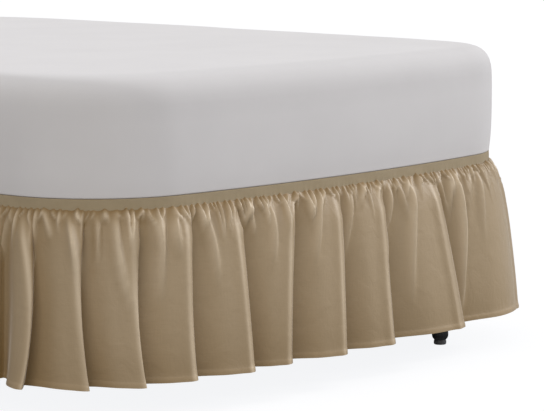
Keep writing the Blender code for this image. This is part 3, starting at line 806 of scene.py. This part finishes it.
def brushed_microfibre():
    """Woven polyester microfibre with a brushed face: matt, with a soft bloom where it turns away."""
    material, tree, shader = new_material("brushed_microfibre", {
        "Roughness": 0.48, "IOR": 1.5, "Specular IOR Level": 0.5,
        "Sheen Weight": 1.0, "Sheen Roughness": 0.3, "Sheen Tint": linear("#fff6ea"),
    })
    place = add_node(tree, "TexCoord").outputs["UV"]
    # the dye takes a little unevenly over a hand's breadth
    dye = add_node(tree, "TexNoise", {"Scale": 9.0, "Detail": 3.0, "Roughness": 0.55}, {"Vector": place})
    # slubs along it and down it: thicker threads 40 mm long and 2 mm apart, drawn ten times wider to show
    slubs = []
    for scale in (25.0, 500.0, 1.0), (420.0, 30.0, 1.0):
        drawn = add_node(tree, "Mapping", {"Scale": scale}, {"Vector": place}).outputs["Vector"]
        slub = add_node(tree, "TexNoise", {"Scale": 1.0, "Detail": 2.0}, {"Vector": drawn})
        slubs.append(slub.outputs["Fac"])
    threads = add_node(tree, "Math", links=dict(enumerate(slubs)), operation="ADD")
    # painted highlight over the crests and painted shade in the hollows, between the gathers and towards the
    # hem, read from the mesh
    fold_light_paint = add_node(tree, "Attribute", attribute_name="fold_light_paint")
    bloom = add_node(tree, "MapRange", {"From Min": -1.0, "From Max": 1.0}, {"Value": fold_light_paint.outputs["Fac"]})
    # the darker colour is full painted shade and the paler one full painted highlight
    tone = add_node(
        tree, "Mix", {6: linear("#8d7145"), 7: linear("#dac6a9")}, {0: bloom.outputs[0]}, data_type="RGBA"
    )
    uneven = add_node(
        tree, "Math", {1: 0.6}, {0: dye.outputs["Fac"], 2: threads.outputs[0]}, operation="MULTIPLY_ADD"
    )
    shade = add_node(
        tree, "MapRange", {"From Min": 0.8, "From Max": 1.8, "To Min": 0.955, "To Max": 1.045},
        {"Value": uneven.outputs[0]},
    )
    colour = add_node(tree, "Mix", {0: 1.0}, {6: tone.outputs[2], 7: shade.outputs[0]}, **MULTIPLIED)
    # the hem's doubled cloth lets no light through, so it looks a shade lighter
    parts = add_node(tree, "SeparateXYZ", links={"Vector": place})
    hem_top = (HEM_DEPTH_MM - HEM_MM) / 1000
    hem = add_node(
        tree, "MapRange", {"From Min": hem_top + 0.0006, "From Max": hem_top, "To Min": 1.0, "To Max": 1.07},
        {"Value": parts.outputs["Y"]}, clamp=True,
    )
    doubled = add_node(tree, "Mix", {0: 1.0}, {6: colour.outputs[2], 7: hem.outputs[0]}, **MULTIPLIED)
    # soft creases from folding, 30 to 60 mm apart, and the nap's fine tooth
    crease = add_node(
        tree, "TexNoise", {"Scale": 26.0, "Detail": 3.0, "Roughness": 0.5, "Distortion": 0.6},
        {"Vector": place},
    )
    fuzz = add_node(tree, "TexNoise", {"Scale": 1400.0, "Detail": 1.0}, {"Vector": place})
    folds = add_node(tree, "Bump", {"Strength": 0.35, "Distance": 0.004}, {"Height": crease.outputs["Fac"]})
    weave = add_node(
        tree, "Bump", {"Strength": 0.3, "Distance": 0.0004},
        {"Height": threads.outputs[0], "Normal": folds.outputs["Normal"]},
    )
    tooth = add_node(
        tree, "Bump", {"Strength": 0.25, "Distance": 0.0003},
        {"Height": fuzz.outputs["Fac"], "Normal": weave.outputs["Normal"]},
    )
    join(tree, shader, doubled, tooth)
    return material


def knitted_elastic():
    """Covered elastic, knitted in narrow ribs along its length: matt, a little duller than the cloth."""
    material, tree, shader = new_material("knitted_elastic", {
        "Roughness": 0.9, "Specular IOR Level": 0.25, "Sheen Weight": 0.15, "Sheen Roughness": 0.5,
    })
    place = add_node(tree, "TexCoord").outputs["UV"]
    # ribs every 2.1 mm up the band, and the covering thread's loops every 1.6 mm along it
    waves = []
    for direction, pitch, distortion in ("Y", 0.0021, 0.4), ("X", 0.0016, 0.8):
        values = {"Scale": 1 / pitch * 0.05 * math.tau, "Distortion": distortion, "Detail": 1.0}
        wave = add_node(
            tree, "TexWave", values, {"Vector": place}, wave_type="BANDS", bands_direction=direction
        )
        waves.append(wave.outputs["Fac"])
    rib, loop = waves
    knit = add_node(tree, "Math", links={0: rib, 1: loop, 2: rib}, operation="MULTIPLY_ADD")
    tint = add_node(tree, "TexNoise", {"Scale": 30.0, "Detail": 3.0}, {"Vector": place})
    tone = add_node(
        tree, "Mix", {6: linear("#b1a082"), 7: linear("#b9a88c")}, {0: tint.outputs["Fac"]}, data_type="RGBA"
    )
    # the colour darkens with the knit's relief: painted shade in the grooves between ribs and loops
    shade = add_node(
        tree, "MapRange", {"From Max": 2.0, "To Min": 0.9, "To Max": 1.06}, {"Value": knit.outputs[0]}
    )
    colour = add_node(tree, "Mix", {0: 1.0}, {6: tone.outputs[2], 7: shade.outputs[0]}, **MULTIPLIED)
    bump = add_node(tree, "Bump", {"Strength": 0.5, "Distance": 0.0004}, {"Height": knit.outputs[0]})
    join(tree, shader, colour, bump)
    return material


def polyester_thread():
    """Spun polyester sewing thread, dyed to the cloth: a slight lustre along its twist."""
    material, tree, shader = new_material("polyester_thread", {"Roughness": 0.55, "Sheen Weight": 0.2})
    place = add_node(tree, "TexCoord").outputs["Object"]
    # the twist of the plies, about 1 mm long
    ply = add_node(tree, "TexNoise", {"Scale": 900.0, "Detail": 1.0}, {"Vector": place})
    tone = add_node(
        tree, "Mix", {6: linear("#a39175"), 7: linear("#b9a88d")}, {0: ply.outputs["Fac"]}, data_type="RGBA"
    )
    bump = add_node(tree, "Bump", {"Strength": 0.4, "Distance": 0.0002}, {"Height": ply.outputs["Fac"]})
    join(tree, shader, tone, bump)
    return material


def white_stretch_knit():
    """Fine white jersey over foam: smooth and matt, with a faint unevenness where it is pulled."""
    material, tree, shader = new_material("white_stretch_knit", {
        "Roughness": 0.82, "Specular IOR Level": 0.3, "Sheen Weight": 0.12, "Sheen Roughness": 0.5,
    })
    place = add_node(tree, "TexCoord").outputs["Object"]
    pull = add_node(tree, "TexNoise", {"Scale": 5.0, "Detail": 4.0, "Roughness": 0.55}, {"Vector": place})
    tone = add_node(
        tree, "Mix", {6: linear("#e4e2e4"), 7: linear("#edebed")}, {0: pull.outputs["Fac"]}, data_type="RGBA"
    )
    # painted shade over the foot end's rolled upper edge, darkening the cover's colour there
    roll_shade = add_node(tree, "Attribute", attribute_name="roll_shade")
    roll_shaded_tone = add_node(
        tree, "Mix", {7: (0.84, 0.84, 0.84, 1)}, {0: roll_shade.outputs["Fac"], 6: tone.outputs[2]},
        **MULTIPLIED
    )
    # knitted loops, 0.9 mm apart, drawn at 1.8 mm to show
    loops = add_node(tree, "TexVoronoi", {"Scale": 550.0}, {"Vector": place})
    soft = add_node(tree, "Bump", {"Strength": 0.2, "Distance": 0.006}, {"Height": pull.outputs["Fac"]})
    knit = add_node(
        tree, "Bump", {"Strength": 0.25, "Distance": 0.0003},
        {"Height": loops.outputs["Distance"], "Normal": soft.outputs["Normal"]},
    )
    join(tree, shader, roll_shaded_tone, knit)
    return material


def woven_ticking():
    """Close-woven off-white ticking with narrow greyer stripes, matt and a little coarse."""
    material, tree, shader = new_material("woven_ticking", {"Roughness": 0.88, "Specular IOR Level": 0.3})
    place = add_node(tree, "TexCoord").outputs["Object"]
    parts = add_node(tree, "SeparateXYZ", links={"Vector": place})
    across = add_node(tree, "Math", links={0: parts.outputs["X"], 1: parts.outputs["Y"]}, operation="ADD")
    # a stripe every 32 mm
    turn = add_node(tree, "Math", {1: 1 / 0.032 * math.tau}, {0: across.outputs[0]}, operation="MULTIPLY")
    wave = add_node(tree, "Math", links={0: turn.outputs[0]}, operation="SINE")
    stripe = add_node(
        tree, "MapRange", {"From Min": 0.75, "From Max": 0.85}, {"Value": wave.outputs[0]}, clamp=True
    )
    tone = add_node(
        tree, "Mix", {6: linear("#dedcd6"), 7: linear("#cbc9c6")}, {0: stripe.outputs[0]}, data_type="RGBA"
    )
    # yarns 0.5 mm apart, drawn at 1.7 mm to show
    yarn = add_node(tree, "TexNoise", {"Scale": 600.0, "Detail": 2.0}, {"Vector": place})
    bump = add_node(tree, "Bump", {"Strength": 0.35, "Distance": 0.0005}, {"Height": yarn.outputs["Fac"]})
    join(tree, shader, tone, bump)
    return material


def powder_coated_steel():
    """Square tube in black powder coat: satin, with the fine orange peel that the baking leaves."""
    material, tree, shader = new_material("powder_coated_steel", {"Roughness": 0.42, "IOR": 1.5})
    place = add_node(tree, "TexCoord").outputs["Object"]
    # the orange peel is 2 mm across, and the coat's thickness varies over 70 mm
    peel = add_node(tree, "TexNoise", {"Scale": 500.0, "Detail": 1.0}, {"Vector": place})
    cloud = add_node(tree, "TexNoise", {"Scale": 14.0, "Detail": 4.0}, {"Vector": place})
    tone = add_node(
        tree, "Mix", {6: linear("#1a1a1c"), 7: linear("#26262a")}, {0: cloud.outputs["Fac"]}, data_type="RGBA"
    )
    bump = add_node(tree, "Bump", {"Strength": 0.25, "Distance": 0.0003}, {"Height": peel.outputs["Fac"]})
    join(tree, shader, tone, bump)
    return material


def moulded_polypropylene():
    """Injection-moulded dark grey polypropylene: semi-matt, paler over its lowest 20 mm, as scuffing and as a
    painted highlight.
    """
    material, tree, shader = new_material("moulded_polypropylene", {"IOR": 1.49})
    place = add_node(tree, "TexCoord").outputs["Object"]
    parts = add_node(tree, "SeparateXYZ", links={"Vector": place})
    grain = add_node(tree, "TexNoise", {"Scale": 260.0, "Detail": 4.0}, {"Vector": place})
    # paler over its lowest 20 mm: scuffs from the floor, and a painted highlight
    low = add_node(
        tree, "MapRange", {"From Max": 0.02, "To Min": 1.0, "To Max": 0.0}, {"Value": parts.outputs["Z"]},
        clamp=True,
    )
    scuff_and_highlight = add_node(tree, "Math", links={0: low.outputs[0], 1: grain.outputs["Fac"]}, operation="MULTIPLY")
    tone = add_node(
        tree, "Mix", {6: linear("#434347"), 7: linear("#a0a0a3")}, {0: scuff_and_highlight.outputs[0]}, data_type="RGBA"
    )
    dull = add_node(tree, "MapRange", {"To Min": 0.32, "To Max": 0.6}, {"Value": grain.outputs["Fac"]})
    tree.links.new(dull.outputs[0], shader.inputs["Roughness"])
    bump = add_node(tree, "Bump", {"Strength": 0.2, "Distance": 0.0003}, {"Height": grain.outputs["Fac"]})
    join(tree, shader, tone, bump)
    return material


def dress(piece, material):
    piece.data.materials.clear()
    piece.data.materials.append(material)


# ---- the camera, the floor and the lights ----
def look_from(name, data, azimuth, elevation):
    """A camera or a light that looks from a direction: 0 is the foot end, 90 the right, in degrees."""
    turn, rise = math.radians(azimuth), math.radians(elevation)
    back = Vector((math.sin(turn) * math.cos(rise), -math.cos(turn) * math.cos(rise), math.sin(rise)))
    made = new_object(name, data)
    made.rotation_euler = (-back).to_track_quat("-Z", "Y").to_euler()
    return made, back


CAMERA_LENS_MM, SENSOR_MM = 182.09, 36
CAMERA_AZIMUTH, CAMERA_ELEVATION = -48.9177, 7.2615
CAMERA_AIM, CAMERA_DISTANCE = (-0.2436, -0.9742, 0.4192), 5.9197


def set_camera():
    """A long lens from low at the left of the foot end, aimed at its left corner."""
    data = bpy.data.cameras.new("camera")
    data.sensor_width = SENSOR_MM
    data.lens = CAMERA_LENS_MM
    data.clip_end = 200
    data.dof.use_dof = False
    camera, back = look_from("camera", data, CAMERA_AZIMUTH, CAMERA_ELEVATION)
    camera.location = Vector(CAMERA_AIM) + back * CAMERA_DISTANCE
    bpy.context.scene.camera = camera


def add_floor():
    """A plain pale floor that glows a little, as a light table does."""
    deselect()
    bpy.ops.mesh.primitive_plane_add(size=120)
    floor = bpy.context.active_object
    floor.name = "floor"
    dress(floor, new_material("pale_floor", {
        "Base Color": linear("#6a6866"), "Roughness": 0.95, "Specular IOR Level": 0.0,
        "Emission Color": linear("#fafbfd"), "Emission Strength": 0.93,
    })[0])
    # the glow keeps the floor pale, and is kept off everything but the floor
    lit = bpy.data.collections.new("lit_by_floor")
    lit.objects.link(floor)
    floor.light_linking.receiver_collection = lit


def add_sun(name, azimuth, elevation, strength, spread, colour):
    """A distant soft light: its direction and spread in degrees."""
    light = bpy.data.lights.new(name, "SUN")
    light.energy = strength
    light.angle = math.radians(spread)
    light.color = linear(colour)[:3]
    look_from(name, light, azimuth, elevation)


def add_lights():
    """A white sky and four soft suns."""
    world = bpy.data.worlds.new("studio")
    bpy.context.scene.world = world
    world.use_nodes = True
    sky = world.node_tree.nodes["Background"]
    sky.inputs["Color"].default_value = linear("#ffffff")
    sky.inputs["Strength"].default_value = 0.54
    add_sun("key", 74, 26, 1.27, 12, "#fffefb")
    add_sun("right", 44, 26, 0.43, 12, "#f2f5ff")
    add_sun("front", 4, 28, 0.24, 40, "#fffcf6")
    add_sun("left", -66, 20, 0.68, 50, "#fff9f0")
    bpy.context.scene.view_settings.view_transform = "Standard"


# ---- the making ----
set_camera()
add_floor()
add_lights()

cloth = make_ruffle()
dress(cloth, brushed_microfibre())
band = make_band()
dress(band, knitted_elastic())
thread = polyester_thread()
hem_stitches = surface_stitches(
    "hem_stitches", lambda place, drop: hang(place, np.full_like(place, HEM_SEAM_MM + drop)),
    SKIRT_END_MM - HEM_DEPTH_MM, lift=0.35,
)
dress(hem_stitches, thread)
seam_stitches = surface_stitches(
    "seam_stitches", lambda place, drop: band_points(place, np.full_like(place, SEAM_MM - drop)),
    SKIRT_END_MM, lift=0.05,
)
dress(seam_stitches, thread)
mattress = padded_block("mattress_cover", MATTRESS_SECTIONS, MATTRESS_BASE, MATTRESS_STEP_MM)
mark_roll_shade(mattress, MATTRESS_SECTIONS, MATTRESS_STEP_MM)
soften(mattress, MATTRESS_BASE + 0.01, MATTRESS_BASE + 0.06, amount_mm=1.6)
dress(mattress, white_stretch_knit())
box = padded_block("box_spring_cover", BOX_SPRING_SECTIONS, SPRING_BASE, SPRING_STEP_MM)
soften(box, SPRING_BASE + 0.02, SPRING_BASE + 0.06, amount_mm=0.8)
dress(box, woven_ticking())

steel = powder_coated_steel()
plastic = moulded_polypropylene()
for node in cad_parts:
    if node.startswith(("side_rail", "cross_rail", "leg_")):
        dress(bpy.data.objects[node], steel)
    if node.startswith("glide_"):
        glide = make_glide("foot_" + node, node)
        dress(glide, plastic)
        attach(glide, "root")
        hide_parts(node)

for piece, slot in (
    (cloth, "ruffle_cloth"), (hem_stitches, "ruffle_cloth"), (band, "knitted_elastic"),
    (seam_stitches, "knitted_elastic"), (mattress, "mattress_cover"), (box, "box_spring_ticking"),
):
    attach(piece, "root")
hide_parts("ruffle")
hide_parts("elastic_band")
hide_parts("mattress")
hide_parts("box_spring")
